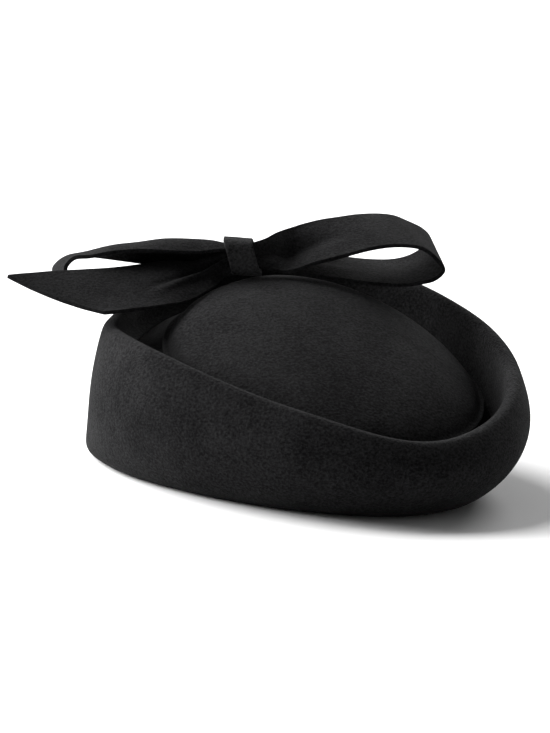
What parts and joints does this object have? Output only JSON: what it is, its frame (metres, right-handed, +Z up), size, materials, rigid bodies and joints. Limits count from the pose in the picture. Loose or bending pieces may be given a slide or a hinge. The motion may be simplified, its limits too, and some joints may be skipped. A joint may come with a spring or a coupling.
{
  "type": "pillbox hat",
  "caption": "Blocked wool felt pillbox hat with a rolled sloping crest, a low domed crown set inside it and a flat felt bow across the back.",
  "frame": {"origin": "bottom centre of the hat's bounding box, on the surface that the base rim rests on", "axes": "+Z up through the crown, the low front faces -Y and the bow lies towards +Y"},
  "size_m": [0.219, 0.2288, 0.1123],
  "materials": {
    "cuff": "matt brushed wool felt, black",
    "groove_ledge": "matt brushed wool felt, black",
    "crown": "matt brushed wool felt, black",
    "bow_knot": "matt flat felt, black",
    "bow_loop_right": "matt flat felt, black",
    "bow_loop_left": "matt flat felt, black",
    "bow_tail": "matt flat felt, black"
  },
  "bodies": {
    "root": {"cuff": "cuff", "groove_ledge": "groove_ledge", "crown": "crown", "bow_knot": "bow_knot", "bow_loop_right": "bow_loop_right", "bow_loop_left": "bow_loop_left", "bow_tail": "bow_tail"}
  },
  "joints": []
}
